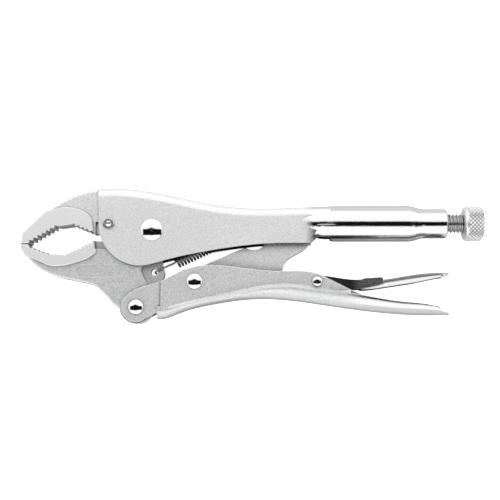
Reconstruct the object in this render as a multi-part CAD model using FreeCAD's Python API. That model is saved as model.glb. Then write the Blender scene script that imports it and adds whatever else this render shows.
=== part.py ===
# Curved-jaw locking pliers, lying flat. Millimetres; +X runs from the jaws to the adjusting knob,
# +Y from the lower handle to the upper one, +Z up. The origin is on the axis of the main pivot
# rivet, on the flat of its lower head, which is the plane that the pliers rest on.
import FreeCAD
import Part

import math
import os

V = FreeCAD.Vector

# ---- driving dimensions ----
# widths, measured across the pliers (along Z)
half_width = 9.9              # main rivet, knob and grip all reach this far from the mid-plane
web_thickness = 11.4          # the forged jaws where they run between the cheeks
pad_thickness = 15.0          # the forged jaws around the teeth
ear_thickness = 4.4           # the lower jaw's thin rear ear, where the spring hooks on
cutter_thickness = 6.0        # the wire cutter blades in the throat
link_thickness = 6.0
upper_plate = 2.2             # sheet of the upper handle
lower_plate = 2.0             # sheet of the lower handle
lever_plate = 1.6             # sheet of the release lever
grip_half = half_width - 0.05 # the grip at its widest, from the mid-plane
side_clearance = 0.12         # beside each moving part, on each side
joggle = 0.7                  # outward step of the lower handle's cheeks behind the jaw

# lengths, in the plane of the pliers
jaw_reach = 71.0              # main pivot to the jaw tips
outline_reach = 71.0          # the reach that the jaw outlines below are written for
jaws_start = -28.0            # the outlines ahead of here move with the reach
handle_length = 160.8         # main pivot to the barrel's rear face
outline_length = 159.5        # the handle length that the tail outlines below are written for
tails_start = 100.0           # the outlines behind here move with the handle length
barrel_length = 13.5
neck_length = 7.5
tube_radius = 9.85
barrel_radius = 8.1
screw_y = 4.2                 # height of the screw's axis above the main pivot
back_radius = 5.0             # rounding of the upper handle's back

# adjusting screw
screw_radius = 5.3
thread_pitch = 2.0
thread_depth = 0.95
thread_clearance = 0.12
screw_tip_x = 97.6            # where the domed tip ends, with the jaws just closed
tip_length = 4.0
knob_radius = half_width - 0.05
knob_length = 11.0
knob_gap = 8.7                # thread showing between the barrel and the knob

# pivots: place, shank radius and head radius
main_pivot = V(0, 0, 0)
lower_pivot = V(-8.2, -41.7, 0)
link_pivot = V(23.3, -27.9, 0)
release_pivot = V(89.4, -27.9, 0)
jaw_rivet_at = V(-23.4, 3.3, 0)
main_shank, main_head = 4.5, 5.95
lower_shank, lower_head = 3.0, 4.2
link_shank, link_head = 3.0, 4.25
release_shank, release_head = 1.9, 2.85
jaw_shank, jaw_head = 2.2, 3.2
jaw_head_height = 0.75
rivet_flat = 0.9              # flat on top of the domed heads
pivot_clearance = 0.05        # around a shank that something turns on
fit_clearance = 0.01          # around a shank that is riveted tight

# jaws
hub_radius = 13.4             # the lower jaw's hub round the main rivet
hub_gap = 0.5
lower_eye_radius = 9.0        # the lower jaw's end round the lower rivet
tooth_pitch = 2.55
tooth_depth = 1.45
fine_pitch = 2.35
fine_depth = 1.15
pad_edge = 0.5                # rounding of the pads
forged_edge = 1.6             # rounding of the webs' outer edges

# toggle link: its far end stops short of the screw's tip
link_end = V(90.4, 2.9, 0)
link_end_radius = 4.6
link_eye_radius = 6.4
link_way = 3.6                # half width of the slot that the link comes down through
link_way_end = 98.0

# spring
wire_radius = 0.5
coil_radius = 2.9             # to the middle of the wire
coil_pitch = 1.8
spring_hole = V(1.3, -22.6, 0)
spring_hole_radius = 1.9
spring_anchor = V(53.0, 1.0, 0)
coil_start, coil_end = 12.6, 50.4   # along the spring, from the hole

# ---- places that follow ----
mid_z = half_width
web_half = web_thickness / 2
channel_half = web_half + side_clearance
cheek_half = channel_half + upper_plate
front_half = web_half + side_clearance
front_outer = front_half + lower_plate
rear_half = front_half + joggle
rear_outer = rear_half + lower_plate
pad_half = pad_thickness / 2
lever_half = rear_half - side_clearance
barrel_start = handle_length - barrel_length
neck_start = barrel_start - neck_length
bore_radius = screw_radius + thread_clearance
knob_start = handle_length + knob_gap
spring_axis = spring_anchor.sub(spring_hole)
spring_length = spring_axis.Length
spring_angle = math.degrees(math.atan2(spring_axis.y, spring_axis.x))
far = 200.0                   # longer than anything it cuts


# ---- helpers ----
def at(points):
    return [V(x, y, 0) for x, y in points]


def curve(points):
    spline = Part.BSplineCurve()
    spline.interpolate(at(points))
    return spline.toShape()


def line(start, end):
    return Part.LineSegment(V(*start, 0), V(*end, 0)).toShape()


def arc(start, middle, end):
    return Part.Arc(V(*start, 0), V(*middle, 0), V(*end, 0)).toShape()


def path(points):
    return [line(a, b) for a, b in zip(points, points[1:])]


def plate(edges, low, high):
    """A flat outline, made solid between two heights above the mid-plane."""
    face = Part.Face(Part.Wire(Part.__sortEdges__(edges)))
    solid = face.extrude(V(0, 0, high - low))
    solid.translate(V(0, 0, mid_z + low))
    return solid


def disc(centre, radius, low, high):
    return Part.makeCylinder(radius, high - low, V(centre.x, centre.y, mid_z + low))


def block(x0, x1, y0, y1, low, high):
    return Part.makeBox(x1 - x0, y1 - y0, high - low, V(x0, y0, mid_z + low))


def turned(profile):
    """A solid of revolution about the screw's axis, from (x, radius) points."""
    edges = path(profile + [profile[0]])
    face = Part.Face(Part.Wire(edges))
    solid = face.revolve(V(0, 0, 0), V(1, 0, 0), 360)
    solid.translate(V(0, screw_y, mid_z))
    return solid


def both_sides(shape):
    return shape.fuse(shape.mirror(V(0, 0, mid_z), V(0, 0, 1)))


def joined(shapes):
    whole = shapes[0].multiFuse(shapes[1:]) if len(shapes) > 1 else shapes[0]
    return whole.removeSplitter()


def rounded(shape, wanted, radius):
    """Fillets the edges that wanted() picks, by their middle point and bounding box."""
    edges = [e for e in shape.Edges if wanted(e)]
    return shape.makeFillet(radius, edges)


def one_solid(shape):
    """The largest solid of a shape that should have only one."""
    return sorted(shape.Solids, key=lambda s: s.Volume)[-1]


def save(name, shape):
    solid = shape if shape.ShapeType == "Solid" else one_solid(shape)
    extra = len(shape.Solids) - 1
    print(f"{name:20s} valid {solid.isValid()}  volume {solid.Volume:9.1f}  left over {extra}")
    solid.exportStep(f"parts/{name}.step")


# ---- rivets ----
def domed_rivet(centre, shank, head, grip_half, head_height):
    """A shank with a domed head on each side, each with a small flat at its top."""
    rim = (head, grip_half)
    flat = min(rivet_flat, head * 0.3)
    top = grip_half + head_height
    lip = head_height * 0.15
    shoulder = (head, grip_half + lip)
    # the dome is an arc that meets the flat smoothly
    width, rise = head - flat, head_height - lip
    dome = (width ** 2 + rise ** 2) / (2 * rise)
    sweep = math.asin(width / dome)
    middle = (flat + dome * math.sin(sweep / 2), top - dome + dome * math.cos(sweep / 2))
    edges = [
        line((0, 0), (shank, 0)),
        line((shank, 0), (shank, grip_half)),
        line((shank, grip_half), rim),
        line(rim, shoulder),
        arc(shoulder, middle, (flat, top)),
        line((flat, top), (0, top)),
        line((0, top), (0, 0)),
    ]
    half = Part.Face(Part.Wire(edges)).revolve(V(0, 0, 0), V(0, 1, 0), 360)
    half.rotate(V(0, 0, 0), V(1, 0, 0), 90)
    half.translate(V(centre.x, centre.y, mid_z))
    return joined([both_sides(half)])


def jaw_rivet():
    """The small rivet that holds the fixed jaw: low heads with a punched dimple."""
    shank = disc(jaw_rivet_at, jaw_shank, -cheek_half, cheek_half)
    head = disc(jaw_rivet_at, jaw_head, cheek_half, cheek_half + jaw_head_height)
    head = rounded(head, lambda e: e.BoundBox.ZMin > mid_z + cheek_half + jaw_head_height / 2, 0.4)
    dimple_radius, dimple_depth = 2.6, 0.45
    dimple_z = mid_z + cheek_half + jaw_head_height - dimple_depth + dimple_radius
    dimple = Part.makeSphere(dimple_radius, V(jaw_rivet_at.x, jaw_rivet_at.y, dimple_z))
    return joined([shank.fuse(both_sides(head.cut(dimple)))])


# ---- upper handle ----
back_line = [
    (-29.4, 22.9), (-20, 23.3), (-5, 22.0), (10, 19.3), (30, 15.1), (50, 12.6), (70, 12.5), (97, 13.4),
]


def upper_profile():
    belly = [(-8.9, -19.2), (-4.5, -19.2), (4.6, -17.1), (26.2, -12.1), (47.8, -8.7), (64, -7.2), (75, -7.0)]
    return [
        curve(back_line),
        line((-29.4, 22.9), (-28.6, 6.0)),
        arc((-28.6, 6.0), (-24.4, -10.0), (-8.9, -19.2)),
        curve(belly),
        line((75, -7.0), (86.8, -7.0)),
        arc((86.8, -7.0), (89.6, 0.2), (97, screw_y)),
        line((97, screw_y), (97, 13.4)),
    ]


def upper_handle():
    outer = plate(upper_profile(), -cheek_half, cheek_half)
    outer = rounded(outer, lambda e: is_long_back(e, back_line), back_radius)
    rear = [
        (neck_start, tube_radius), (neck_start + 3, tube_radius - 0.45),
        (barrel_start - 1, barrel_radius + 0.25), (barrel_start + 0.6, barrel_radius),
        (handle_length - 0.8, barrel_radius),
        (handle_length, barrel_radius - 0.8), (handle_length, 0),
    ]
    # the tube grows gently out of the cheeks above its middle, and bulges more sharply below it
    above = turned([(66, 0), (66, 6.2), (76, 7.4), (86, 8.7), (93, 9.5), (100, tube_radius)] + rear)
    below = turned([(85, 0), (85, 7.2), (87.2, 7.9), (88.8, 8.9), (91, 9.6), (94, tube_radius)] + rear)
    seam_y = screw_y - 1.4
    below = below.common(block(60, far, -60, seam_y, -far, far))
    tube = above.fuse(below)
    shell = outer.fuse(tube)
    inner = channel(0)
    wall = tube_radius - upper_plate
    way = channel_half - 0.42
    bore = turned([
        (60, 0), (60, way), (88, way), (99, wall), (neck_start, wall), (barrel_start - 1, bore_radius),
        (handle_length + 5, bore_radius), (handle_length + 5, 0),
    ])
    slot = block(80, link_way_end, -60, screw_y, -link_way, link_way)
    seam = block(link_way_end - 1, handle_length + 5, -60, screw_y, -0.6, 0.6)
    shell = shell.cut(inner).cut(bore).cut(slot).cut(seam)
    # each side of the seam is pinched in below the round of the barrel
    pinch_mid = (barrel_start + handle_length) / 2 - 0.4
    pinch = plate([
        arc((barrel_start - 2, -4.6), (pinch_mid, -2.0), (handle_length - 0.8, -3.6)),
        line((handle_length - 0.8, -3.6), (handle_length - 0.8, -9)),
        line((handle_length - 0.8, -9), (barrel_start - 2, -9)),
        line((barrel_start - 2, -9), (barrel_start - 2, -4.6)),
    ], 1.0, 12)
    shell = shell.cut(both_sides(pinch))
    shell = shell.cut(disc(main_pivot, main_shank + fit_clearance, -far, far))
    shell = shell.cut(disc(jaw_rivet_at, jaw_shank + fit_clearance, -far, far))
    return joined([shell, spring_tab()])


def channel(gap):
    """The space inside the upper handle's cheeks and back, less a gap all round."""
    inside_line = [(-45, 21.6 - upper_plate - gap)] + [(x, y - upper_plate - gap) for x, y in back_line]
    space = plate(
        [curve(inside_line)]
        + path([inside_line[-1], (inside_line[-1][0], -60), (-45, -60), inside_line[0]]),
        -channel_half + gap, channel_half - gap)
    return rounded(space, lambda e: is_long_back(e, inside_line), back_radius - upper_plate)


def is_long_back(edge, back):
    """True for the two edges where the cheeks meet the back."""
    box = edge.BoundBox
    return box.XLength > 60 and box.ZLength < 0.01 and box.YMax > max(y for _, y in back) - 0.5


def spring_tab():
    """The tab pressed down from the back, that the spring's far hook goes round."""
    x = spring_anchor.x
    top = 12.6 - upper_plate / 2
    tab = plate(path([
        (x + 1.7, top), (x + 3.9, top), (x + 3.9, spring_anchor.y - 1.8), (x - 1.8, spring_anchor.y - 1.8),
        (x - 1.8, spring_anchor.y + 1.3), (x - 0.5, spring_anchor.y + 1.3), (x - 0.5, spring_anchor.y - 0.4),
        (x + 1.7, spring_anchor.y - 0.4), (x + 1.7, top)]), -1.5, 1.5)
    return tab


# ---- teeth ----
def teeth(start, end, pitch, depth):
    """A saw line from start to end: each tooth is a ridge of the given depth, on the line's left."""
    (x0, y0), (x1, y1) = start, end
    length = math.hypot(x1 - x0, y1 - y0)
    count = max(1, round(length / pitch))
    ux, uy = (x1 - x0) / length, (y1 - y0) / length
    points = [start]
    for i in range(count):
        a, b = (i + 0.5) * length / count, (i + 1) * length / count
        points.append((x0 + ux * a - uy * depth, y0 + uy * a + ux * depth))
        points.append((x0 + ux * b, y0 + uy * b))
    return points


def reach(points):
    """Outline points of a jaw: what lies ahead of the hub moves with the jaw's reach."""
    scale = (jaw_reach + jaws_start) / (outline_reach + jaws_start)
    return [(x if x > jaws_start else jaws_start + (x - jaws_start) * scale, y) for x, y in points]


# ---- upper jaw ----
def upper_bite():
    """The tooth line, from the tip back to the throat."""
    front, top, back = (-66.6, -7.3), (-50.8, 2.0), (-31.6, -1.8)
    crest = (-43.6, 3.0)
    points = [(-71.0, -7.5), front]
    points += teeth(front, top, tooth_pitch, tooth_depth)[1:]
    points += teeth(crest, back, fine_pitch, fine_depth)
    return reach(points)


shelf = -29.6                 # where the jaw steps down to go inside the handle


def upper_jaw_outline():
    """The part of the jaw ahead of the handle, and a little way into it."""
    bite = upper_bite()
    outer_line = reach([
        (-70.2, -1.4), (-68.4, 0.2), (-60.2, 8.1), (-49.4, 16.0), (-38.6, 20.8), (-30.2, 22.6),
    ])
    throat = bite[-1]
    lap = shelf + 3.0
    return (
        [line(bite[0], outer_line[0]), curve(outer_line)]
        + path([outer_line[-1], (shelf, outer_line[-1][1]), (shelf, 16.0), (lap, 15.0), (lap, throat[1]),
                throat])
        + path(bite))


def upper_jaw_tail():
    """The part of the jaw inside the handle: it fits under the back and round the lower jaw's hub."""
    throat = upper_bite()[-1]
    tail_end = 9.0
    gap_radius = hub_radius + hub_gap
    tail_low = (tail_end, math.sqrt(gap_radius ** 2 - tail_end ** 2))
    arch_top = (-gap_radius * 0.342, gap_radius * 0.940)
    front_low = (-math.sqrt(gap_radius ** 2 - throat[1] ** 2), throat[1])
    tail = plate(
        path([(shelf, throat[1]), (shelf, 30), (tail_end + 1, 30), (tail_end + 1, tail_low[1] + 0.3),
              tail_low])
        + [arc(tail_low, arch_top, front_low)]
        + path([front_low, (shelf, throat[1])]),
        -web_half, web_half)
    return tail.common(channel(side_clearance / 2))


def upper_jaw():
    throat = upper_bite()[-1]
    web = plate(upper_jaw_outline(), -web_half, web_half)
    web = rounded(web, lambda e: is_rim(e, web_half) and e.BoundBox.XLength > 38, forged_edge)
    web = web.fuse(upper_jaw_tail())
    pad_line = reach([
        (-63.0, 11.0), (-57.5, 10.3), (-49.4, 12.2), (-42.0, 11.9), (-35.4, 9.2), (-32.4, 5.2),
    ])
    region = plate(
        [curve(pad_line), line(pad_line[-1], throat), line(throat, (throat[0], -20))]
        + path([(throat[0], -20), (-90, -20), (-90, 11), pad_line[0]]),
        -pad_half - 1, pad_half + 1)
    pad = plate(upper_jaw_outline(), -pad_half, pad_half).common(region)
    pad = rounded(pad, lambda e: is_rim(e, pad_half) and e.BoundBox.XMax < pad_line[1][0], pad_edge)
    jaw = web.fuse(pad)
    # wire cutter: the throat is thinned to a blade behind the pad
    blade_top = 4.6
    cut = block(throat[0] + 0.9, -23.8, throat[1] - 1, blade_top, cutter_thickness / 2, far)
    jaw = jaw.cut(both_sides(cut))
    return joined([jaw.cut(disc(jaw_rivet_at, jaw_shank + fit_clearance, -far, far))])


def is_rim(edge, half):
    """True for an edge of a plate's two faces."""
    box = edge.BoundBox
    return box.ZLength < 0.01 and abs(abs(box.ZMin - mid_z) - half) < 0.01


# ---- lower jaw ----
def lower_bite():
    front, bottom, crest, back = (-66.4, -8.7), (-54.5, -13.0), (-48.0, -13.3), (-31.8, -5.7)
    points = [(-71.0, -7.8), (-66.8, -7.9), front]
    points += teeth(bottom, front, fine_pitch, fine_depth)[::-1][1:]
    points += teeth(back, crest, fine_pitch, fine_depth)[::-1]
    return reach(points)


def lower_arm_outline():
    bite = lower_bite()
    outer_line = reach([(-70.9, -9.6), (-67.0, -15.4), (-60.2, -21.2), (-49.4, -25.8), (-38.6, -28.0)])
    eye = lower_pivot
    eye_left = (eye.x - lower_eye_radius, eye.y - 1.0)
    outer_line += [(-29.4, -31.2), (-22.9, -37.6), eye_left]
    return (
        path(bite) + [line(bite[0], outer_line[0]), curve(outer_line)]
        + path([outer_line[-1], (eye.x, eye.y), (eye.x + lower_eye_radius - 1.5, eye.y + 5), (5.0, -28.2),
                (3.8, -12.0), (0, 0), (-12, -5.8), bite[-1]]))


def lower_jaw():
    throat = lower_bite()[-1]
    body = plate(lower_arm_outline(), -web_half, web_half)
    body = rounded(body, lambda e: is_rim(e, web_half) and e.BoundBox.XLength > 38, forged_edge)
    eye_disc = disc(lower_pivot, lower_eye_radius, -web_half, web_half)
    hub = disc(main_pivot, hub_radius, -web_half, web_half)
    ear_half = ear_thickness / 2
    ear = disc(spring_hole.add(V(0.6, -0.8, 0)), 5.0, -ear_half, ear_half)
    neck = plate(path([(1.0, -28.5), (5.4, -27.6), (6.2, -22), (4.8, -12), (-4, -12), (1.0, -28.5)]),
                 -ear_half, ear_half)
    jaw = joined([body, eye_disc, hub, ear, neck])
    # the rear of the arm is thinned beside the ear
    step_line = [(-0.6, -15.6), (-4.8, -18.8), (-5.9, -21.6), (-5.0, -24.6), (-2.2, -30.2)]
    recess = plate(
        [curve(step_line)]
        + path([step_line[-1], (1.2, -36), (30, -36), (30, -15.6), step_line[0]]),
        ear_half, web_half + 1)
    jaw = jaw.cut(both_sides(recess))
    pad_line = reach([(-76.0, -14.6), (-67.4, -14.9), (-62.3, -16.2), (-56.0, -19.0), (-49.4, -19.5),
                      (-40.0, -17.3), (-33.2, -14.5), (-30.0, -11.6)])
    region = plate(
        [curve(pad_line), line(pad_line[-1], throat), line(throat, (throat[0], 5))]
        + path([(throat[0], 5), (-76.0, 5), pad_line[0]]),
        -pad_half - 1, pad_half + 1)
    pad = plate(lower_arm_outline(), -pad_half, pad_half).common(region)
    pad = rounded(pad, lambda e: is_rim(e, pad_half) and e.BoundBox.XLength > 10, pad_edge)
    jaw = jaw.fuse(pad)
    # wire cutter: thinned to a blade behind the pad
    blade_low = -10.2
    cut = block(throat[0] + 0.9, -21.5, blade_low, throat[1] + 3, cutter_thickness / 2, far)
    jaw = jaw.cut(both_sides(cut)).cut(both_sides(panel_recess()))
    jaw = jaw.cut(disc(main_pivot, main_shank + pivot_clearance, -far, far))
    jaw = jaw.cut(disc(lower_pivot, lower_shank + pivot_clearance, -far, far))
    jaw = jaw.cut(disc(spring_hole, spring_hole_radius, -far, far))
    return joined([jaw])


def panel_recess():
    """A plain sunk panel in the forging's side."""
    x0, x1, y0, y1, end = -40.6, -20.2, -25.3, -19.0, 2.9
    floor = web_half - 0.5
    panel = block(x0, x1, y0, y1, floor, far)
    upright = [e for e in panel.Edges if e.BoundBox.ZLength > 1]
    return panel.makeFillet(end, upright)


# ---- toggle link ----
def toggle_link():
    eye, end = link_pivot, link_end
    along = end.sub(eye)
    angle = math.atan2(along.y, along.x)
    up = V(-math.sin(angle), math.cos(angle), 0)
    eye_top = eye.add(V(up).multiply(link_eye_radius))
    end_top = end.add(V(up).multiply(link_end_radius))
    end_low = end.sub(V(up).multiply(link_end_radius))
    eye_low = eye.sub(V(up).multiply(link_eye_radius))
    half = link_thickness / 2
    heel = [(85.4, -7.6), (76.2, -14.0), (72.4, -17.2), (71.0, -21.2), (69.6, -25.4), (66.0, -27.4)]
    upper_side = [eye_top, end_top, end, end_low]
    body = plate(
        path([(p.x, p.y) for p in upper_side] + [heel[0]])
        + [curve(heel)]
        + path([heel[-1], (50, -30.0), (eye_low.x + 3, eye_low.y - 0.2), (eye.x, eye.y),
                (eye_top.x, eye_top.y)]),
        -half, half)
    link = joined([body, disc(eye, link_eye_radius, -half, half), disc(end, link_end_radius, -half, half)])
    # scallop that clears the spring's tab
    link = link.cut(disc(V(55.2, -3.6, 0), 7.0, -far, far))
    return link.cut(disc(eye, link_shank + pivot_clearance, -far, far))


# ---- lower handle ----
top_line = [
    (-6.2, -31.3), (4.9, -27.8), (15.4, -22.6), (30.0, -19.1), (47.8, -20.5), (69.4, -22.4), (89.4, -23.7),
    (96.4, -26.9), (107.2, -32.3), (113.0, -35.0),
]
cheeks_end = 112              # behind here the cheeks have died out
foot_rise = 1.9               # height of the sloping shoulder at the foot of the cheeks
# the grip: place along the pliers, height of its rim, height of its underside, share of grip_half
grip_stations = [
    (3.0, -43.5, -48.0, 0.83), (15.4, -41.3, -44.8, 0.93), (26.2, -38.8, -41.6, 0.98),
    (37.0, -36.7, -39.5, 1), (47.8, -34.2, -37.9, 1), (60.0, -31.8, -37.2, 1), (74.8, -31.0, -38.0, 1),
    (91.0, -33.0, -40.2, 1), (107.2, -34.4, -42.6, 1), (118.0, -36.2, -44.0, 1), (134.2, -38.8, -45.5, 1),
    (148.0, -40.3, -46.0, 0.98), (163.0, -41.8, -46.1, 0.83),
]


def arched(stations, lift=0):
    """A solid through half-oval sections, from (x, rim height, crown height, half width).

    lift carries the sides on straight past the rim, for a hollow that must cut right through it.
    """
    steps = 8
    wires = []
    for x, rim, crown, half in stations:
        oval = []
        for i in range(steps + 1):
            turn = math.pi * i / steps
            oval.append(V(x, rim + (crown - rim) * math.sin(turn), mid_z + half * math.cos(turn)))
        spline = Part.BSplineCurve()
        spline.interpolate(oval)
        corners = [oval[-1], oval[0]]
        if lift:
            top = [V(x, rim + lift, mid_z - half), V(x, rim + lift, mid_z + half)]
            corners = [oval[-1]] + top + [oval[0]]
        sides = [Part.LineSegment(a, b).toShape() for a, b in zip(corners, corners[1:])]
        wires.append(Part.Wire([spline.toShape()] + sides))
    return Part.makeLoft(wires, True, False)


def stretched(points):
    """The handles' tails move with the handle length."""
    scale = (handle_length - tails_start) / (outline_length - tails_start)
    moved = []
    for point in points:
        x = point[0]
        if x > tails_start:
            x = tails_start + (x - tails_start) * scale
        moved.append((x,) + tuple(point[1:]))
    return moved


def cheek(low, high):
    """One flat side of the lower handle, down to inside the grip's wall."""
    eye, eye_round = lower_pivot, 8.2
    foot = [(x, rim - 1.2) for x, rim, crown, share in grip_stations if x < cheeks_end]
    left = (eye.x - eye_round, eye.y)
    low_left = (eye.x - eye_round * 0.7071, eye.y - eye_round * 0.7071)
    bottom = (eye.x + 2.0, eye.y - math.sqrt(eye_round ** 2 - 4.0))
    return plate(
        [curve([left, (-14.6, -36.9)] + top_line), line(top_line[-1], foot[-1]), curve(foot),
         line(foot[0], bottom), arc(bottom, low_left, left)],
        low, high)


def cheek_foot(stations):
    """The sloping shoulder over which the cheeks run down into the grip's flare."""
    wires = []
    for x, rim, crown, half in stations:
        if x > cheeks_end:
            break
        top = rim + foot_rise
        side = [V(x, rim - 0.5, half * 0.97), V(x, rim, half * 0.995), V(x, top, rear_outer - 0.15)]
        corners = side + [V(p.x, p.y, -p.z) for p in reversed(side)]
        wire = Part.makePolygon(corners + [corners[0]])
        wire.translate(V(0, 0, mid_z))
        wires.append(wire)
    return Part.makeLoft(wires, True, False)


def lower_handle():
    joggle_x, lap = 5.2, 1.4
    front = cheek(front_half, front_outer).common(block(-far, joggle_x + lap, -far, far, 0, far))
    rear = cheek(rear_half, rear_outer).common(block(joggle_x, far, -far, far, 0, far))
    stations = [(x, rim, crown, share * grip_half) for x, rim, crown, share in stretched(grip_stations)]
    inside = []
    for x, rim, crown, half in stations:
        hollow_half = rear_half + 0.6 if x < cheeks_end else half - lower_plate
        inside.append((x, rim, crown + lower_plate, hollow_half))
    grip = arched(stations).fuse(cheek_foot(stations))
    # the hollow runs on past both ends of the grip
    first, last = inside[0], inside[-1]
    inside[0] = (first[0] - 3,) + first[1:]
    inside[-1] = (last[0] + 3,) + last[1:]
    # the tail slopes down to a rounded end
    reach_end = handle_length + 0.8
    slope = plate(
        [arc((reach_end - 12.0, -39.2), (reach_end - 3.6, -42.5), (reach_end, -47.0))]
        + path([(reach_end, -47.0), (reach_end, -50), (reach_end + 20, -50), (reach_end + 20, -30),
                (reach_end - 12.0, -30), (reach_end - 12.0, -39.2)]),
        -12, 12)
    grip = grip.cut(slope).cut(arched(inside, 6))
    shell = joined([both_sides(front), both_sides(rear), grip])
    shanks = [(lower_pivot, lower_shank), (link_pivot, link_shank), (release_pivot, release_shank)]
    for centre, shank in shanks:
        shell = shell.cut(disc(centre, shank + fit_clearance, -far, far))
    return shell


# ---- release lever ----
# the thumb blade: place along the pliers, height of its lower rim, height of its crown, half width
blade_stations = [
    (113.0, -32.3, -27.6, 6.3), (122.0, -31.5, -26.9, 6.5), (131.0, -30.1, -25.6, 7.2),
    (141.0, -28.5, -23.9, 8.0), (150.0, -26.6, -22.9, 8.4), (160.2, -25.4, -22.7, 8.2),
]


def release_lever():
    inner = lever_half - lever_plate
    ear = plate(
        [curve([(86.0, -24.6), (92.7, -24.7), (102, -26.1), (113.4, -26.7)])]
        + path([(113.4, -26.7), (115.2, -26.0), (124.8, -25.4), (125.6, -28.4), (123.0, -30.0),
                (113.6, -31.9), (96.0, -31.7), (82.0, -31.6), (70.0, -32.6), (69.0, -31.4)])
        + [curve([(69.0, -31.4), (75.0, -30.6), (80.0, -28.4), (86.0, -24.6)])],
        inner, lever_half)
    web = plate(
        [curve([(92.0, -25.3), (102, -26.5), (113.0, -27.3), (121.0, -27.3)]),
         line((121, -27.3), (121, -27.3 - lever_plate)),
         curve([(121, -27.3 - lever_plate), (113.0, -27.3 - lever_plate), (102, -26.5 - lever_plate),
                (92.0, -25.3 - lever_plate)]),
         line((92.0, -25.3 - lever_plate), (92.0, -25.3))],
        -inner - 0.2, inner + 0.2)
    toe = block(69.6, 77.0, -32.3, -31.2, -inner - 0.2, inner + 0.2)
    lever = joined([both_sides(ear), web, toe, blade()])
    return lever.cut(disc(release_pivot, release_shank + pivot_clearance, -far, far))


def blade():
    stations = stretched(blade_stations)
    outer = arched(stations)
    sheet = lever_plate * 0.8
    inside = [(x, rim, crown - sheet, half - sheet) for x, rim, crown, half in stations]
    first, last = inside[0], inside[-1]
    inside[0] = (first[0] - 2,) + first[1:]
    inside[-1] = (last[0] + 2,) + last[1:]
    inner = arched(inside, -4)
    strip = outer.cut(inner)
    # the free end is rounded, seen from above
    x, half = stations[-1][0], stations[-1][3]
    corner = 7.0
    trim = Part.makeBox(corner, 30, corner, V(x - corner, -40, mid_z + half - corner))
    trim = trim.cut(Part.makeCylinder(corner, 30, V(x - corner, -40, mid_z + half - corner), V(0, 1, 0)))
    return strip.cut(both_sides(trim))


# ---- adjusting screw ----
def adjusting_screw():
    root = screw_radius - thread_depth
    start = screw_tip_x + tip_length
    shank = turned([
        (start, 0), (start, root - 0.6), (start + 1.0, root), (knob_start + 1, root), (knob_start + 1, 0),
    ])
    knob = turned([
        (knob_start, 0), (knob_start, screw_radius + 1.0), (knob_start + 1.6, knob_radius - 1.0),
        (knob_start + 2.4, knob_radius), (knob_start + knob_length - 1.6, knob_radius),
        (knob_start + knob_length, knob_radius - 1.6), (knob_start + knob_length, 0),
    ])
    return joined([shank, knob, thread(start + 1.5, knob_start - 0.6)])


def thread(start, end):
    """A right-handed helical ridge about the screw's axis."""
    turns_length = end - start - thread_pitch
    root = screw_radius - thread_depth
    helix = Part.makeHelix(thread_pitch, turns_length, root, 0, False)
    base, crest = thread_pitch * 0.42, thread_pitch * 0.10
    foot = root - 0.15
    corners = [V(foot, 0, -base), V(screw_radius, 0, -crest), V(screw_radius, 0, crest), V(foot, 0, base)]
    profile = Part.makePolygon(corners + [corners[0]])
    ridge = Part.Wire(helix.Edges).makePipeShell([profile], True, True)
    ridge.rotate(V(0, 0, 0), V(0, 1, 0), 90)
    ridge.translate(V(start + thread_pitch / 2, screw_y, mid_z))
    return ridge


def screw_tip():
    """The plain domed end that bears on the toggle link."""
    root = screw_radius - thread_depth - 0.6
    start, end = screw_tip_x, screw_tip_x + tip_length - 0.02
    return turned([
        (start, 0), (start + 0.15, 1.2), (start + 0.6, 2.2), (start + 1.3, 3.0), (start + 2.2, root),
        (end, root), (end, 0),
    ])


# ---- spring ----
def tension_spring():
    """A close-wound coil with a long hook at each end, made along X, then set in place."""
    coil_length = coil_end - coil_start
    helix = Part.makeHelix(coil_pitch, coil_length, coil_radius, 0, False)
    ring = Part.Wire(Part.makeCircle(wire_radius, V(coil_radius, 0, 0), V(0, 1, 0)))
    coil = Part.Wire(helix.Edges).makePipeShell([ring], True, True)
    coil.rotate(V(0, 0, 0), V(0, 1, 0), 90)
    coil.translate(V(coil_start, 0, 0))
    near = ear_thickness / 2 + wire_radius + 0.35
    first = V(coil_start, 0, -coil_radius)
    spread = V(coil_start - 4.5, 0, near)
    hook = [first, V(coil_start - 1.2, 0, 0), spread, V(1.6, 0, near)]
    parts = [coil] + rods(hook)
    parts.append(through_hook(near))
    last_turn = coil_length / coil_pitch * 2 * math.pi
    last = V(coil_end, coil_radius * math.sin(last_turn), -coil_radius * math.cos(last_turn))
    end = V(spring_length - 2.6, 0, 2.4)
    parts += rods([last, V(coil_end + 1.4, 0, 0.4), end, V(spring_length + 1.0, 0, 2.4)])
    cross = V(spring_length + 1.0, 0, -2.4)
    parts += rods([V(spring_length + 1.0, 0, 2.4), cross])
    spring = joined(parts)
    spring.rotate(V(0, 0, 0), V(0, 0, 1), spring_angle)
    spring.translate(V(spring_hole.x, spring_hole.y, mid_z))
    return spring


def through_hook(near):
    """The end that turns down through the ear's hole."""
    return joined(rods([V(1.6, 0, near), V(0.6, 0, near - 0.3), V(0.4, 0, near - 1.4), V(0.4, 0, -near)]))


def rods(points):
    """Round wire along straight runs, with a ball at each corner."""
    shapes = []
    for a, b in zip(points, points[1:]):
        shapes.append(Part.makeCylinder(wire_radius, b.sub(a).Length, a, b.sub(a)))
        shapes.append(Part.makeSphere(wire_radius, b))
    return shapes


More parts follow.
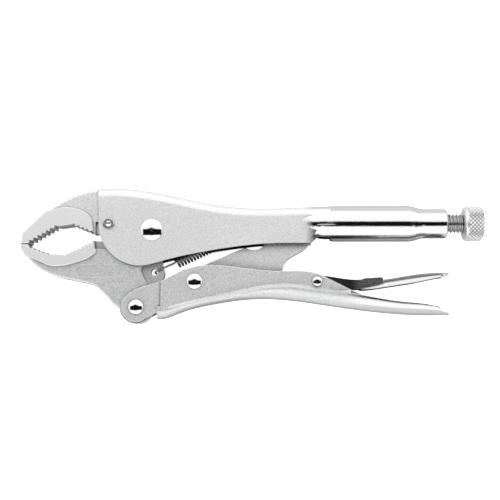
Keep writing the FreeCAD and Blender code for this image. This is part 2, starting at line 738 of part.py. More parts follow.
def main():
    os.makedirs("parts", exist_ok=True)
    save("upper_handle", upper_handle())
    save("upper_jaw", upper_jaw())
    save("upper_jaw_rivet", jaw_rivet())
    save("main_pivot_rivet",
         domed_rivet(main_pivot, main_shank, main_head, cheek_half, half_width - cheek_half))
    save("lower_jaw", lower_jaw())
    save("lower_pivot_rivet", domed_rivet(lower_pivot, lower_shank, lower_head, front_outer, 1.5))
    save("lower_handle", lower_handle())
    save("link_rivet", domed_rivet(link_pivot, link_shank, link_head, rear_outer, half_width - rear_outer))
    save("toggle_link", toggle_link())
    save("release_lever", release_lever())
    save("release_lever_rivet", domed_rivet(release_pivot, release_shank, release_head, rear_outer, 1.0))
    save("adjusting_screw", adjusting_screw())
    save("screw_tip", screw_tip())
    save("tension_spring", tension_spring())


main()
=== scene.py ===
# Curved-jaw locking pliers, lying flat on a pale table in soft studio light.
import bpy
import math
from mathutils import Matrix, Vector


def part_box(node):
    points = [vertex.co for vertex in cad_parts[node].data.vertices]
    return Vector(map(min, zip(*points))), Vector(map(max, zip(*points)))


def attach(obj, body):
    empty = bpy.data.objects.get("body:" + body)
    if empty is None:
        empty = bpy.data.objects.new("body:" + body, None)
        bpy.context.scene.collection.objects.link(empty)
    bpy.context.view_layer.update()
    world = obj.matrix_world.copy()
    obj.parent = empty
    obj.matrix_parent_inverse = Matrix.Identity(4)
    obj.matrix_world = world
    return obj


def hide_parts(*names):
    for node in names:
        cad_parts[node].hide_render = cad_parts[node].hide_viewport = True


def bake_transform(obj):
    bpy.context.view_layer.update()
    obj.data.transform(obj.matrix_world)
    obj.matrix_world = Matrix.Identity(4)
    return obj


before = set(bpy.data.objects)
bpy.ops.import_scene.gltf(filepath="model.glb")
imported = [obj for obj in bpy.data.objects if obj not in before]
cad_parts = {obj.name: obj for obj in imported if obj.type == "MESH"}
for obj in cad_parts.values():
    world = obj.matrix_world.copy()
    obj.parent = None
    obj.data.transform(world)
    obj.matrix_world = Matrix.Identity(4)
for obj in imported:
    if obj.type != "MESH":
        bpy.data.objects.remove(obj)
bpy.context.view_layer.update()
mm = 0.001
midZ = 9.9 * mm  # middle of the pliers' thickness
weld = 0.01 * mm  # vertices closer than this are one
samePlace = 0.001 * mm  # two coordinates closer than this are the same
print("frame loaded", len(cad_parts), "nodes")


def deselectAll():
    if bpy.context.mode != "OBJECT":
        bpy.ops.object.mode_set(mode="OBJECT")
    bpy.ops.object.select_all(action="DESELECT")


def focus(obj):
    deselectAll()
    obj.select_set(True)
    bpy.context.view_layer.objects.active = obj


def settle(obj):  # leaves the object at the origin, with its place in its mesh
    focus(obj)
    bpy.ops.object.transform_apply(location=True, rotation=True, scale=True)


def applyModifiers(obj):
    focus(obj)
    for modifier in list(obj.modifiers):
        bpy.ops.object.modifier_apply(modifier=modifier.name)


def giveMaterial(obj, material):
    obj.data.materials.clear()
    obj.data.materials.append(material)


deselectAll()

# shader groups


def newGroup(name, inputs, outputs):
    group = bpy.data.node_groups.new(name, "ShaderNodeTree")
    for socketName, kind, value in inputs:
        socket = group.interface.new_socket(name=socketName, in_out="INPUT", socket_type=kind)
        if value is not None:
            socket.default_value = value
    for socketName, kind in outputs:
        group.interface.new_socket(name=socketName, in_out="OUTPUT", socket_type=kind)
    tree = group.nodes
    return group, tree.new("NodeGroupInput"), tree.new("NodeGroupOutput")


def node(tree, kind, **settings):
    made = tree.nodes.new(kind)
    for key, value in settings.items():
        if key in made.inputs:
            made.inputs[key].default_value = value
        else:
            setattr(made, key, value)
    return made


def math1(tree, operation, a, b=None, clamp=False):
    made = tree.nodes.new("ShaderNodeMath")
    made.operation = operation
    made.use_clamp = clamp
    for slot, value in ((0, a), (1, b)):
        if value is None:
            continue
        if isinstance(value, (int, float)):
            made.inputs[slot].default_value = value
        else:
            tree.links.new(value, made.inputs[slot])
    return made.outputs[0]


def remap(tree, value, low, high, toLow, toHigh):
    made = tree.nodes.new("ShaderNodeMapRange")
    made.interpolation_type = "SMOOTHSTEP"
    tree.links.new(value, made.inputs["Value"])
    limits = {"From Min": low, "From Max": high, "To Min": toLow, "To Max": toHigh}
    for name, number in limits.items():
        made.inputs[name].default_value = number
    return made.outputs["Result"]


def rampBetween(tree, value, start, end):  # 0 at the start socket, 1 at the end socket
    made = tree.nodes.new("ShaderNodeMapRange")
    made.interpolation_type = "SMOOTHSTEP"
    tree.links.new(value, made.inputs["Value"])
    tree.links.new(start, made.inputs["From Min"])
    tree.links.new(end, made.inputs["From Max"])
    return made.outputs["Result"]


def scaled(tree, value, factor):
    return math1(tree, "MULTIPLY", value, factor)


def coordinate(tree, place, axis):
    apart = node(tree, "ShaderNodeSeparateXYZ")
    tree.links.new(place, apart.inputs[0])
    return apart.outputs[axis]


def makeBlastGroup():  # the fine grain of bead-blasted and plated steel
    group, source, sink = newGroup(
        "blastedGrain",
        [("Vector", "NodeSocketVector", None), ("Grain Scale", "NodeSocketFloat", 2600.0)],
        [("Grain", "NodeSocketFloat"), ("Height", "NodeSocketFloat")])
    fine = node(group, "ShaderNodeTexNoise", Detail=3.0, Roughness=0.65)
    pits = node(group, "ShaderNodeTexVoronoi")
    for texture in (fine, pits):
        group.links.new(source.outputs["Vector"], texture.inputs["Vector"])
        group.links.new(source.outputs["Grain Scale"], texture.inputs["Scale"])
    group.links.new(remap(group, fine.outputs["Fac"], 0.30, 0.70, 0.0, 1.0), sink.inputs["Grain"])
    height = math1(group, "ADD", scaled(group, fine.outputs["Fac"], 0.6),
                   scaled(group, pits.outputs["Distance"], 0.4))
    group.links.new(height, sink.inputs["Height"])
    return group


def makeEdgeGroup():  # where an edge gets a painted highlight: the rounded normal leaves the flat one
    group, source, sink = newGroup(
        "paintedEdgeHighlight",
        [("Radius", "NodeSocketFloat", 0.0006)],
        [("Mask", "NodeSocketFloat"), ("Normal", "NodeSocketVector")])
    bevel = node(group, "ShaderNodeBevel", samples=6)
    group.links.new(source.outputs["Radius"], bevel.inputs["Radius"])
    geometry = node(group, "ShaderNodeNewGeometry")
    dot = node(group, "ShaderNodeVectorMath", operation="DOT_PRODUCT")
    group.links.new(bevel.outputs["Normal"], dot.inputs[0])
    group.links.new(geometry.outputs["Normal"], dot.inputs[1])
    group.links.new(remap(group, dot.outputs["Value"], 0.995, 0.80, 0.0, 1.0), sink.inputs["Mask"])
    group.links.new(bevel.outputs["Normal"], sink.inputs["Normal"])
    return group


def makeHandlingGroup():  # faint smears and hairline scratches from use
    group, source, sink = newGroup(
        "handlingMarks",
        [("Vector", "NodeSocketVector", None)],
        [("Smear", "NodeSocketFloat"), ("Scratch", "NodeSocketFloat")])
    smear = node(group, "ShaderNodeTexNoise", Scale=28.0, Detail=5.0, Roughness=0.6, Distortion=0.8)
    group.links.new(source.outputs["Vector"], smear.inputs["Vector"])
    group.links.new(remap(group, smear.outputs["Fac"], 0.42, 0.68, 0.0, 1.0), sink.inputs["Smear"])
    lines = []
    for turn, stretch in ((0.35, (90.0, 5200.0, 400.0)), (-0.22, (70.0, 4300.0, 400.0))):
        place = node(group, "ShaderNodeMapping")
        place.inputs["Rotation"].default_value = (0, 0, turn)
        place.inputs["Scale"].default_value = stretch
        group.links.new(source.outputs["Vector"], place.inputs["Vector"])
        noise = node(group, "ShaderNodeTexNoise", Scale=1.0, Detail=1.0)
        group.links.new(place.outputs["Vector"], noise.inputs["Vector"])
        lines.append(remap(group, noise.outputs["Fac"], 0.70, 0.78, 0.0, 1.0))
    group.links.new(math1(group, "MAXIMUM", lines[0], lines[1]), sink.inputs["Scratch"])
    return group


def makeCreaseGroup():  # painted shade with some grime in tight corners and between parts, painted shade on sideways faces and on faces inside channels
    group, source, sink = newGroup(
        "creaseShadeAndGrime",
        [("Vector", "NodeSocketVector", None), ("Facing", "NodeSocketVector", None),
         ("Reach", "NodeSocketFloat", 0.002), ("Open", "NodeSocketFloat", 0.88),
         ("Shut", "NodeSocketFloat", 0.40), ("Side From", "NodeSocketFloat", 0.45),
         ("Side To", "NodeSocketFloat", 0.12), ("Middle", "NodeSocketFloat", midZ)],
        [("ShadeAndGrime", "NodeSocketFloat"), ("Side", "NodeSocketFloat"), ("Inside", "NodeSocketFloat")])
    # the ambient-occlusion mask paints shade into tight corners and between parts, broken into
    # patches like grime
    openness = node(group, "ShaderNodeAmbientOcclusion", samples=12)
    group.links.new(source.outputs["Reach"], openness.inputs["Distance"])
    patches = node(group, "ShaderNodeTexNoise", Scale=900.0, Detail=2.0)
    group.links.new(source.outputs["Vector"], patches.inputs["Vector"])
    uneven = remap(group, patches.outputs["Fac"], 0.35, 0.60, 0.65, 1.0)
    tight = rampBetween(
        group, openness.outputs["AO"], source.outputs["Open"], source.outputs["Shut"])
    group.links.new(math1(group, "MULTIPLY", tight, uneven), sink.inputs["ShadeAndGrime"])
    height = coordinate(group, source.outputs["Vector"], "Z")
    facing = coordinate(group, source.outputs["Facing"], "Z")
    # faces turned sideways get painted shade
    upright = math1(group, "ABSOLUTE", facing)
    side = rampBetween(group, upright, source.outputs["Side From"], source.outputs["Side To"])
    group.links.new(side, sink.inputs["Side"])
    # faces inside a channel, turned towards the middle of the tool, get painted shade
    which = math1(group, "SIGN", math1(group, "SUBTRACT", height, source.outputs["Middle"]))
    outward = math1(group, "MULTIPLY", which, facing)
    group.links.new(remap(group, outward, -0.2, -0.6, 0.0, 1.0), sink.inputs["Inside"])
    return group


def makeKnurlGroup():  # two families of crossing grooves round the knob
    group, source, sink = newGroup(
        "knurlGrooves",
        [("Vector", "NodeSocketVector", None), ("Columns", "NodeSocketFloat", 54.0),
         ("Row Spacing", "NodeSocketFloat", 0.00115)],
        [("Groove", "NodeSocketFloat")])
    place = node(group, "ShaderNodeSeparateXYZ")
    group.links.new(source.outputs["Vector"], place.inputs[0])
    turn = math1(group, "ARCTAN2", place.outputs["Z"], place.outputs["Y"])
    share = math1(group, "DIVIDE", turn, math.tau)
    column = math1(group, "MULTIPLY", share, source.outputs["Columns"])
    row = math1(group, "DIVIDE", place.outputs["X"], source.outputs["Row Spacing"])
    lines = []
    for operation in ("ADD", "SUBTRACT"):
        wave = math1(group, "FRACT", scaled(group, math1(group, operation, column, row), 0.5))
        apart = math1(group, "ABSOLUTE", math1(group, "SUBTRACT", wave, 0.5))
        lines.append(remap(group, apart, 0.34, 0.46, 0.0, 1.0))
    group.links.new(math1(group, "MAXIMUM", lines[0], lines[1]), sink.inputs["Groove"])
    return group


blastGroup = makeBlastGroup()
knurlGroup = makeKnurlGroup()
edgeGroup = makeEdgeGroup()
handlingGroup = makeHandlingGroup()
creaseGroup = makeCreaseGroup()
print("shader groups made")

# finishes


def useGroup(tree, group, **values):
    made = tree.nodes.new("ShaderNodeGroup")
    made.node_tree = group
    for key, value in values.items():
        made.inputs[key].default_value = value
    return made


def mixColour(tree, factor, first, second):
    made = tree.nodes.new("ShaderNodeMix")
    made.data_type = "RGBA"
    for slot, value in ((6, first), (7, second)):
        if isinstance(value, tuple):
            made.inputs[slot].default_value = value + (1.0,)
        else:
            tree.links.new(value, made.inputs[slot])
    tree.links.new(factor, made.inputs[0])
    return made.outputs[2]


# colour of the painted shade, with some grime, in creases, channels, sideways faces and knurl
# grooves
shadeAndGrimeColour = (0.055, 0.058, 0.064)
finishRules = {"roughSpread": 0.05, "padStep": 0.2 * mm, "padSmoother": 0.06, "knurlStep": 0.3 * mm,
               "grimeRougher": 0.15, "edgeGain": 3, "bumpDistance": 0.05 * mm}


def steel(name, look):
    material = bpy.data.materials.new(name)
    material.use_nodes = True
    tree = material.node_tree
    shader = tree.nodes["Principled BSDF"]
    shader.inputs["Metallic"].default_value = 1.0
    coords = tree.nodes.new("ShaderNodeTexCoord")
    place = coords.outputs["Object"]
    grain = useGroup(tree, blastGroup, **{"Grain Scale": look["grain"]})
    marks = useGroup(tree, handlingGroup)
    edge = useGroup(tree, edgeGroup, Radius=look["edgeRadius"])
    tree.links.new(place, grain.inputs["Vector"])
    tree.links.new(place, marks.inputs["Vector"])
    colour = mixColour(tree, grain.outputs["Grain"], look["dark"], look["light"])
    smoothest = look["rough"] - finishRules["roughSpread"]
    roughest = look["rough"] + finishRules["roughSpread"]
    rough = remap(tree, grain.outputs["Grain"], 0, 1, smoothest, roughest)
    rough = math1(tree, "ADD", rough, scaled(tree, marks.outputs["Smear"], look["smear"]))
    rough = math1(tree, "SUBTRACT", rough, scaled(tree, edge.outputs["Mask"], look["edgeShine"]))
    if "polishFrom" in look:  # smoother, and of another colour, from one place along the tool to another; on the lever this colour is a painted bright reflection
        shiny = remap(tree, coordinate(tree, place, "X"), look["polishFrom"] * mm,
                      look["polishTo"] * mm, 0.0, 1.0)
        dull = math1(tree, "MULTIPLY", rough, math1(tree, "SUBTRACT", 1.0, shiny))
        rough = math1(tree, "ADD", dull, scaled(tree, shiny, look["polishRough"]))
        colour = mixColour(tree, shiny, colour, look["polishedZoneColour"])
    if "padHalf" in look:  # the raised pads of a jaw are ground smoother than its webs
        height = coordinate(tree, place, "Z")
        away = math1(tree, "ABSOLUTE", math1(tree, "SUBTRACT", height, midZ))
        top = look["padHalf"] * mm
        pad = remap(tree, away, top - finishRules["padStep"], top, 0.0, 1.0)
        colour = mixColour(tree, pad, colour, look["padColour"])
        rough = math1(tree, "SUBTRACT", rough, scaled(tree, pad, finishRules["padSmoother"]))
    if "knurlFrom" in look:  # painted shade lies in the grooves of the knurl
        middle = node(tree, "ShaderNodeVectorMath", operation="SUBTRACT")
        tree.links.new(place, middle.inputs[0])
        middle.inputs[1].default_value = look["knurlMiddle"]
        knurl = useGroup(tree, knurlGroup,
                         **{"Columns": look["knurlColumns"], "Row Spacing": look["knurlRow"]})
        tree.links.new(middle.outputs[0], knurl.inputs["Vector"])
        start, step = look["knurlFrom"], finishRules["knurlStep"]
        onBand = remap(tree, coordinate(tree, place, "X"), start - step, start + step, 0.0, 1.0)
        groove = math1(tree, "MULTIPLY", knurl.outputs["Groove"], onBand)
        colour = mixColour(tree, scaled(tree, groove, look["knurlDark"]), colour, shadeAndGrimeColour)
    crease = useGroup(tree, creaseGroup, Reach=look["creaseReach"], **look.get("creaseRamp", {}))
    tree.links.new(place, crease.inputs["Vector"])
    tree.links.new(coords.outputs["Normal"], crease.inputs["Facing"])
    # painted shade on sideways faces, inside channels and in creases; the creases also take some
    # grime
    for mask, amount in (("Side", "sideDark"), ("Inside", "insideDark"), ("ShadeAndGrime", "creaseDark")):
        shadeAndGrimeAmount = scaled(tree, crease.outputs[mask], look[amount])
        colour = mixColour(tree, shadeAndGrimeAmount, colour, shadeAndGrimeColour)
    dusty = scaled(tree, crease.outputs["ShadeAndGrime"], finishRules["grimeRougher"])
    rough = math1(tree, "ADD", rough, dusty, clamp=True)
    # painted highlight along the edges, stronger where edgeShine is larger
    paintedHighlight = scaled(tree, edge.outputs["Mask"], look["edgeShine"] * finishRules["edgeGain"])
    colour = mixColour(tree, paintedHighlight, colour, look["edgeHighlightAndScratchColour"])
    scratched = scaled(tree, marks.outputs["Scratch"], look["scratch"])
    colour = mixColour(tree, scratched, colour, look["edgeHighlightAndScratchColour"])
    tree.links.new(colour, shader.inputs["Base Color"])
    tree.links.new(rough, shader.inputs["Roughness"])
    bump = node(tree, "ShaderNodeBump", Strength=look["bump"], Distance=finishRules["bumpDistance"])
    tree.links.new(grain.outputs["Height"], bump.inputs["Height"])
    tree.links.new(edge.outputs["Normal"], bump.inputs["Normal"])
    tree.links.new(bump.outputs["Normal"], shader.inputs["Normal"])
    return material


# sheet parts get painted shade on sideways faces and inside their channels, and a painted highlight
# along their edges
sheetLook = {"grain": 2300.0, "dark": (0.66, 0.665, 0.67), "light": (0.98, 0.98, 0.985),
             "rough": 0.52, "smear": 0.04, "edgeRadius": 0.4 * mm, "edgeShine": 0.12,
             "edgeHighlightAndScratchColour": (0.95, 0.95, 0.955), "scratch": 0.25, "bump": 0.6,
             "creaseReach": 1.8 * mm, "creaseDark": 0.85, "sideDark": 0.50, "insideDark": 0.92}
handleLook = dict(sheetLook, polishFrom=82.0, polishTo=89.0, polishRough=0.09,
                  polishedZoneColour=(0.69, 0.69, 0.695))
# the lower handle is a darker copy of the sheet finish as painted shade, with a stronger painted
# edge highlight and a long crease reach that paints shade along the crease above its base
lowerHandleLook = dict(
    sheetLook, dark=(0.52, 0.525, 0.53), light=(0.88, 0.88, 0.885), edgeShine=0.26,
    edgeRadius=0.6 * mm, creaseReach=6.0 * mm, creaseRamp={"Open": 0.97, "Shut": 0.74},
    polishFrom=100.0, polishTo=118.0, polishRough=0.20, polishedZoneColour=(0.66, 0.66, 0.665))
# the lever's near-black colour is a painted dark reflection, and its lighter colour from X 108 mm
# on is a painted bright reflection on the bent tail
leverLook = dict(sheetLook, dark=(0.07, 0.072, 0.076), light=(0.12, 0.12, 0.125), rough=0.18,
                 polishFrom=108.0, polishTo=115.0, polishRough=0.16,
                 polishedZoneColour=(0.62, 0.62, 0.625))
# the link's long crease reach paints the shadow that the handle cheeks cast on it
linkLook = dict(sheetLook, grain=2200.0, light=(0.97, 0.97, 0.975), insideDark=0.0,
                creaseReach=6.5 * mm, creaseRamp={"Open": 0.92, "Shut": 0.45})
jawLook = {"grain": 1900.0, "dark": (0.64, 0.645, 0.65), "light": (0.97, 0.97, 0.975),
           "rough": 0.54, "smear": 0.03, "edgeRadius": 0.5 * mm, "edgeShine": 0.10,
           "edgeHighlightAndScratchColour": (0.95, 0.95, 0.955), "scratch": 0.2, "bump": 0.8,
           "creaseReach": 1.6 * mm, "creaseDark": 0.75, "sideDark": 0.12, "insideDark": 0.0,
           "padHalf": 7.4, "padColour": (0.90, 0.90, 0.905)}
# the lower jaw is a darker copy of the jaw finish as painted shade, with a stronger painted edge
# highlight
lowerJawLook = dict(jawLook, dark=(0.50, 0.505, 0.51), light=(0.84, 0.84, 0.845), edgeShine=0.24)
# the tilted flanks of the rivet domes get painted shade as dark rims
rivetLook = {"grain": 1500.0, "dark": (0.66, 0.66, 0.665), "light": (0.72, 0.72, 0.725),
             "rough": 0.07, "smear": 0.02, "edgeRadius": 0.2 * mm, "edgeShine": 0.0,
             "edgeHighlightAndScratchColour": (0.9, 0.9, 0.9), "scratch": 0.2, "bump": 0.05,
             "creaseReach": 0.7 * mm, "creaseDark": 0.9, "sideDark": 0.6, "insideDark": 0.0,
             "creaseRamp": {"Side From": 0.84, "Side To": 0.74}}
# the dimpled rivet gets painted shade on its dimple walls and round its rim
dimpleLook = dict(rivetLook, rough=0.16, sideDark=0.45,
                  creaseRamp={"Side From": 0.70, "Side To": 0.20})
screwLook = {"grain": 1800.0, "dark": (0.60, 0.60, 0.61), "light": (0.72, 0.72, 0.73),
             "rough": 0.24, "smear": 0.05, "edgeRadius": 0.15 * mm, "edgeShine": 0.02,
             "edgeHighlightAndScratchColour": (0.80, 0.80, 0.81), "scratch": 0.2, "bump": 0.15,
             "creaseReach": 0.8 * mm, "creaseDark": 0.85, "sideDark": 0.0, "insideDark": 0.0}
threadLook = dict(screwLook, dark=(0.40, 0.40, 0.41), light=(0.56, 0.56, 0.57))
springLook = dict(screwLook, grain=3000.0, dark=(0.30, 0.30, 0.31), light=(0.44, 0.44, 0.45),
                  rough=0.20)

handleSteel = steel("satinPlatedSteel", handleLook)
lowerHandleSteel = steel("satinPlatedSteelShadedLower", lowerHandleLook)
leverSteel = steel("polishedLeverSteel", leverLook)
jawSteel = steel("blastedForgedSteel", jawLook)
lowerJawSteel = steel("blastedForgedSteelShadedLower", lowerJawLook)
linkSteel = steel("blastedLinkPlate", linkLook)
rivetSteel = steel("polishedRivetSteel", rivetLook)
dimpleSteel = steel("dimpledRivetSteel", dimpleLook)
screwSteel = steel("brightScrewSteel", screwLook)
threadSteel = steel("cutThreadSteel", threadLook)
springSteel = steel("drawnSpringWire", springLook)

finishes = {
    "upper_handle": handleSteel, "lower_handle": lowerHandleSteel, "release_lever": leverSteel,
    "upper_jaw": jawSteel, "lower_jaw": lowerJawSteel, "toggle_link": linkSteel,
    "main_pivot_rivet": rivetSteel, "lower_pivot_rivet": rivetSteel, "link_rivet": rivetSteel,
    "release_lever_rivet": rivetSteel, "upper_jaw_rivet": dimpleSteel,
    "adjusting_screw": screwSteel, "screw_tip": screwSteel, "tension_spring": springSteel,
}
for name, material in finishes.items():
    giveMaterial(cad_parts[name], material)
print("finishes given")

# adjusting screw and its knob

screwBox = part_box("adjusting_screw")
screwLow, screwHigh = Vector(screwBox[0]), Vector(screwBox[1])
screwAxis = Vector((0, (screwLow.y + screwHigh.y) / 2, (screwLow.z + screwHigh.z) / 2))
screwShape = {"radius": 5.3 * mm, "pitch": 2.0 * mm, "depth": 1.05 * mm, "crest": 0.16,
              "root": 0.20, "stepsPerTurn": 48, "insideKnob": 1.0 * mm, "smoothBelow": 20}
knobShape = {"length": 11.0 * mm, "radius": 9.85 * mm, "diamondsRound": 27,
             "rowSpacing": 1.05 * mm, "rows": 8, "knurlDepth": 0.62 * mm, "smoothBelow": 24,
             "shoulder": [(-0.25, 9.45), (-0.9, 9.25), (-1.5, 8.7), (-1.95, 7.9), (-2.1, 7.0),
                          (-2.1, 4.0)],
             "rearRound": [(0.30, 8.55), (0.42, 8.1), (0.42, 5.2), (0.22, 4.9), (0.22, 0.8)],
             "rearRows": (9.75, 9.3)}


def pickVerts(obj, wanted):
    bpy.ops.object.mode_set(mode="EDIT")
    bpy.ops.mesh.select_mode(type="VERT")
    bpy.ops.mesh.select_all(action="DESELECT")
    bpy.ops.object.mode_set(mode="OBJECT")
    for vert in obj.data.vertices:
        vert.select = wanted(vert.co)
    bpy.ops.object.mode_set(mode="EDIT")


def pickEdges(obj, wanted):
    bpy.ops.object.mode_set(mode="EDIT")
    bpy.ops.mesh.select_mode(type="EDGE")
    bpy.ops.mesh.select_all(action="DESELECT")
    bpy.ops.object.mode_set(mode="OBJECT")
    places = obj.data.vertices
    for edge in obj.data.edges:
        edge.select = wanted(places[edge.vertices[0]].co, places[edge.vertices[1]].co)
    bpy.ops.object.mode_set(mode="EDIT")


def closeHoles():  # every open loop of the piece in edit mode gets a face
    bpy.ops.mesh.select_mode(type="EDGE")
    bpy.ops.mesh.select_all(action="SELECT")
    bpy.ops.mesh.fill_holes(sides=0)
    bpy.ops.mesh.select_all(action="SELECT")
    bpy.ops.mesh.normals_make_consistent(inside=False)


def makeThread(shape, start, end):
    deselectAll()
    bpy.ops.mesh.primitive_plane_add(size=1 * mm, location=(0, 0, 0))
    thread = bpy.context.active_object
    thread.name = "screwThread"
    pickVerts(thread, lambda co: co.x > 0 or co.y > 0)
    bpy.ops.mesh.delete(type="VERT")
    inner, outer = shape["radius"] - shape["depth"], shape["radius"]
    bpy.ops.mesh.select_all(action="SELECT")
    bpy.ops.transform.translate(value=Vector((start, 0, inner)) - thread.data.vertices[0].co)
    pitch = shape["pitch"]
    flank = (1 - shape["crest"] - shape["root"]) / 2
    profile = ((shape["root"], 0), (flank, 1), (shape["crest"], 0), (flank, -1))
    for along, up in profile:
        bpy.ops.mesh.extrude_region_move(
            TRANSFORM_OT_translate={"value": (along * pitch, 0, up * (outer - inner))})
    bpy.ops.object.mode_set(mode="OBJECT")
    helix = thread.modifiers.new("thread", "SCREW")
    helix.axis, helix.angle, helix.screw_offset = "X", math.tau, pitch
    helix.iterations = round((end - start) / pitch)
    helix.steps = helix.render_steps = shape["stepsPerTurn"]
    helix.use_merge_vertices, helix.merge_threshold = True, weld
    applyModifiers(thread)
    bpy.ops.object.mode_set(mode="EDIT")
    bpy.ops.mesh.select_all(action="SELECT")
    bpy.ops.mesh.remove_doubles(threshold=weld)
    closeHoles()
    bpy.ops.object.mode_set(mode="OBJECT")
    thread.location = screwAxis
    settle(thread)
    return thread


def ringOn(x):  # picks the open loop at one end of the knob
    return lambda a, b: abs(a.x - x) < samePlace and abs(b.x - x) < samePlace


def drawRing(x, radius, nextX, nextRadius):  # extrudes the picked loop to a new place and radius
    bpy.ops.mesh.extrude_region_move(TRANSFORM_OT_translate={"value": (nextX - x, 0, 0)})
    size = nextRadius / radius
    bpy.ops.transform.resize(value=(1, size, size), center_override=(nextX, 0, 0))


def makeKnob(shape):
    deselectAll()
    columns = shape["diamondsRound"] * 2
    band = shape["rowSpacing"] * shape["rows"]
    low = shape["radius"] - shape["knurlDepth"]
    bpy.ops.mesh.primitive_cylinder_add(vertices=columns, radius=low, depth=band,
                                        end_fill_type="NOTHING", rotation=(0, math.pi / 2, 0))
    knob = bpy.context.active_object
    knob.name = "knurledKnob"
    settle(knob)
    pickEdges(knob, lambda a, b: abs(a.x - b.x) > band / 2)
    bpy.ops.mesh.subdivide(number_cuts=shape["rows"] - 1)
    step = math.tau / columns
    first = math.atan2(knob.data.vertices[0].co.z, knob.data.vertices[0].co.y)

    def onPeak(co):
        column = round((math.atan2(co.z, co.y) - first) / step)
        row = round((co.x + band / 2) / shape["rowSpacing"])
        return 0 < row < shape["rows"] + 1 and (column + row) % 2 == 1

    pickVerts(knob, onPeak)
    size = shape["radius"] / low
    bpy.ops.transform.resize(value=(1, size, size), center_override=(0, 0, 0))
    for back, radius in zip((1, 0), shape["rearRows"]):  # the knurl runs over the rounded rear edge
        x = band / 2 - back * shape["rowSpacing"]
        pickVerts(knob, lambda co: abs(co.x - x) < samePlace)
        size = radius * mm / shape["radius"]
        bpy.ops.transform.resize(value=(1, size, size), center_override=(x, 0, 0))
    bpy.ops.mesh.select_all(action="SELECT")
    bpy.ops.mesh.quads_convert_to_tris(quad_method="SHORTEST_DIAGONAL")
    ends = ((-1, shape["shoulder"], low), (1, shape["rearRound"], shape["rearRows"][1] * mm))
    for side, outline, startRadius in ends:
        x, radius = side * band / 2, startRadius
        pickEdges(knob, ringOn(x))
        for away, nextRadius in outline:
            nextX = side * band / 2 + away * mm
            drawRing(x, radius, nextX, nextRadius * mm)
            x, radius = nextX, nextRadius * mm
    closeHoles()
    bpy.ops.object.mode_set(mode="OBJECT")
    rear = max(v.co.x for v in knob.data.vertices)
    knob.location = (screwHigh.x - rear, screwAxis.y, screwAxis.z)
    settle(knob)
    bpy.ops.object.shade_smooth_by_angle(angle=math.radians(shape["smoothBelow"]))
    return knob


thread = makeThread(screwShape, screwLow.x,
                    screwHigh.x - knobShape["length"] + screwShape["insideKnob"])
knob = makeKnob(knobShape)
focus(thread)
bpy.ops.object.shade_smooth_by_angle(angle=math.radians(screwShape["smoothBelow"]))
giveMaterial(thread, threadSteel)
rearReach = max(away for away, radius in knobShape["rearRound"]) * mm
knurlStart = screwHigh.x - rearReach - knobShape["rowSpacing"] * knobShape["rows"]
knobLook = dict(screwLook, dark=(0.78, 0.78, 0.785), light=(0.90, 0.90, 0.905), rough=0.36,
                creaseDark=0.5, knurlFrom=knurlStart, knurlDark=0.75,
                knurlMiddle=(knurlStart, screwAxis.y, screwAxis.z),
                knurlColumns=knobShape["diamondsRound"] * 2.0, knurlRow=knobShape["rowSpacing"])
giveMaterial(knob, steel("knurledSteel", knobLook))
for piece in (thread, knob):
    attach(piece, "adjusting_screw")
    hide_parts("adjusting_screw")
print("adjusting screw made")

# return spring

springShape = {"hole": (1.3, -22.6), "anchor": (53.0, 1.0), "wire": 0.52, "coilRadius": 2.88,
               "turns": 21, "coilFrom": 12.6, "coilTo": 50.4, "stepsPerTurn": 20,
               "beside": 3.05, "cross": 2.3, "endShare": 0.55, "endSteps": 3}


def springRoute(shape):  # points in the spring's own frame: u along it, v across, w up
    turns, steps = shape["turns"], shape["stepsPerTurn"]
    first, last, beside, cross = (shape[key] for key in ("coilFrom", "coilTo", "beside", "cross"))
    along = math.dist(shape["hole"], shape["anchor"])
    frontHook = [(0.45, -0.9, -2.9), (0.1, -0.3, -3.0), (0.2, 0, -2.4), (0.4, 0, 0),
                 (0.45, 0, 2.0), (0.9, 0, 2.85), (1.8, 0, beside)]
    route = frontHook + [(first * part, 0, beside) for part in (0.3, 0.55, 0.72)]
    for i in range(turns * steps + 1):
        angle = math.tau * i / steps
        ends = min(1.0, (i + shape["endSteps"]) / steps,
                   (turns * steps - i + shape["endSteps"]) / steps)
        swell = shape["endShare"] + (1 - shape["endShare"]) * math.sin(ends * math.pi / 2)
        radius = shape["coilRadius"] * swell
        u = first + (last - first) * i / (turns * steps)
        route.append((u, radius * math.sin(angle), radius * math.cos(angle)))
    rearHook = [(last + 1.5, 0, cross - 0.6), (along - 2.4, 0, cross), (along - 0.6, 0, cross),
                (along + 0.6, 0, cross), (along + 1.0, 0, 1.6), (along + 1.0, 0, -1.6),
                (along + 0.6, 0, -2.5), (along - 1.6, 0, -2.5)]
    return route + rearHook


def makeSpring(shape):
    deselectAll()
    start, end = Vector(shape["hole"]), Vector(shape["anchor"])
    turn = math.atan2(end.y - start.y, end.x - start.x)
    bpy.ops.curve.primitive_nurbs_path_add(location=(0, 0, 0))
    spring = bpy.context.active_object
    spring.name = "returnSpring"
    spring.data.splines.clear()
    wire = spring.data.splines.new("NURBS")
    route = springRoute(shape)
    wire.points.add(len(route) - 1)
    for point, (u, v, w) in zip(wire.points, route):
        point.co = (u * mm, v * mm, w * mm, 1.0)
    wire.order_u = 4
    wire.use_endpoint_u = True
    wire.resolution_u = 2
    spring.data.bevel_depth = shape["wire"] * mm
    spring.data.bevel_resolution = 3
    spring.data.use_fill_caps = True
    bpy.ops.object.convert(target="MESH")
    spring.rotation_euler = (0, 0, turn)
    spring.location = (start.x * mm, start.y * mm, midZ)
    settle(spring)
    bpy.ops.object.shade_smooth()
    return spring


spring = makeSpring(springShape)
giveMaterial(spring, springSteel)
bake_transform(spring)
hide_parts("tension_spring")
print("spring made")

# stage, light, camera

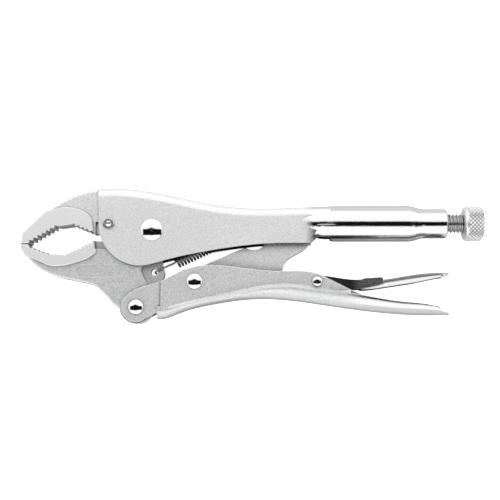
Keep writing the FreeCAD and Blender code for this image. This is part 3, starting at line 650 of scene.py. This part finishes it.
stageLook = {"floorSize": 6.0, "floorMiddle": (0.05, 0, -0.0002), "floorRough": 0.9,
             "floorColour": (0.93, 0.93, 0.93), "floorGlow": 0.95, "skyBright": 1.42,
             "gapBright": 0.005, "gapHalf": 0.25, "gapEdge": 0.05, "gapMiddle": -0.12,
             "gapLength": 0.78, "gapTaper": 0.12, "horizonDark": 0.60, "horizonFrom": 0.02,
             "horizonTo": 0.18, "sideBright": 0.06, "sideFrom": 0.90, "sideTo": 0.55}

bpy.ops.mesh.primitive_plane_add(size=stageLook["floorSize"], location=stageLook["floorMiddle"])
floor = bpy.context.active_object
floor.name = "paleFloor"
settle(floor)
floorPaint = bpy.data.materials.new("paleTable")  # glows to the eye, but not in the steel
floorPaint.use_nodes = True
floorTree = floorPaint.node_tree
floorShader = floorTree.nodes["Principled BSDF"]
floorShader.inputs["Base Color"].default_value = stageLook["floorColour"] + (1.0,)
floorShader.inputs["Roughness"].default_value = stageLook["floorRough"]
floorShader.inputs["Emission Color"].default_value = (1, 1, 1, 1)
rays = floorTree.nodes.new("ShaderNodeLightPath")
floorTree.links.new(scaled(floorTree, rays.outputs["Is Camera Ray"], stageLook["floorGlow"]),
                    floorShader.inputs["Emission Strength"])
giveMaterial(floor, floorPaint)

world = bpy.data.worlds.new("softStudio")
bpy.context.scene.world = world
world.use_nodes = True
sky = world.node_tree
towards = sky.nodes.new("ShaderNodeTexCoord").outputs["Generated"]
apart = sky.nodes.new("ShaderNodeSeparateXYZ")
sky.links.new(towards, apart.inputs[0])
# a dark gap overhead, which the polished steel mirrors as its dark band
off = math1(sky, "ABSOLUTE", math1(sky, "SUBTRACT", apart.outputs["Y"], stageLook["gapMiddle"]))
beside = remap(sky, off, stageLook["gapHalf"],
               stageLook["gapHalf"] + stageLook["gapEdge"], 0.0, 1.0)
beyond = remap(sky, math1(sky, "ABSOLUTE", apart.outputs["X"]), stageLook["gapLength"],
               stageLook["gapLength"] + stageLook["gapTaper"], 0.0, 1.0)
lit = math1(sky, "MAXIMUM", beside, beyond)
high = remap(sky, apart.outputs["Z"], stageLook["horizonFrom"], stageLook["horizonTo"],
             stageLook["horizonDark"], 1.0)
rise = remap(sky, apart.outputs["Z"], stageLook["sideFrom"], stageLook["sideTo"],
             1.0, 1.0 + stageLook["sideBright"])
bright = remap(sky, lit, 0.0, 1.0, stageLook["gapBright"], stageLook["skyBright"])
bright = math1(sky, "MULTIPLY", bright, math1(sky, "MULTIPLY", high, rise))
sky.links.new(bright, sky.nodes["Background"].inputs["Strength"])
sky.nodes["Background"].inputs["Color"].default_value = (1, 1, 1, 1)

cameraLook = {"lens": 80.0, "sensor": 36.0, "away": 0.6, "tilt": 5.5,
              "centre": (53.2 * mm, -11.0 * mm, 17.9 * mm)}
tilt = math.radians(cameraLook["tilt"])
sight = Vector((0, -math.sin(tilt), math.cos(tilt)))
bpy.ops.object.camera_add(location=Vector(cameraLook["centre"]) + sight * cameraLook["away"],
                          rotation=(tilt, 0, 0))
camera = bpy.context.active_object
camera.data.lens = cameraLook["lens"]
camera.data.sensor_width = cameraLook["sensor"]
bpy.context.scene.camera = camera
bpy.context.scene.view_settings.view_transform = "Standard"
print("stage, light and camera set")
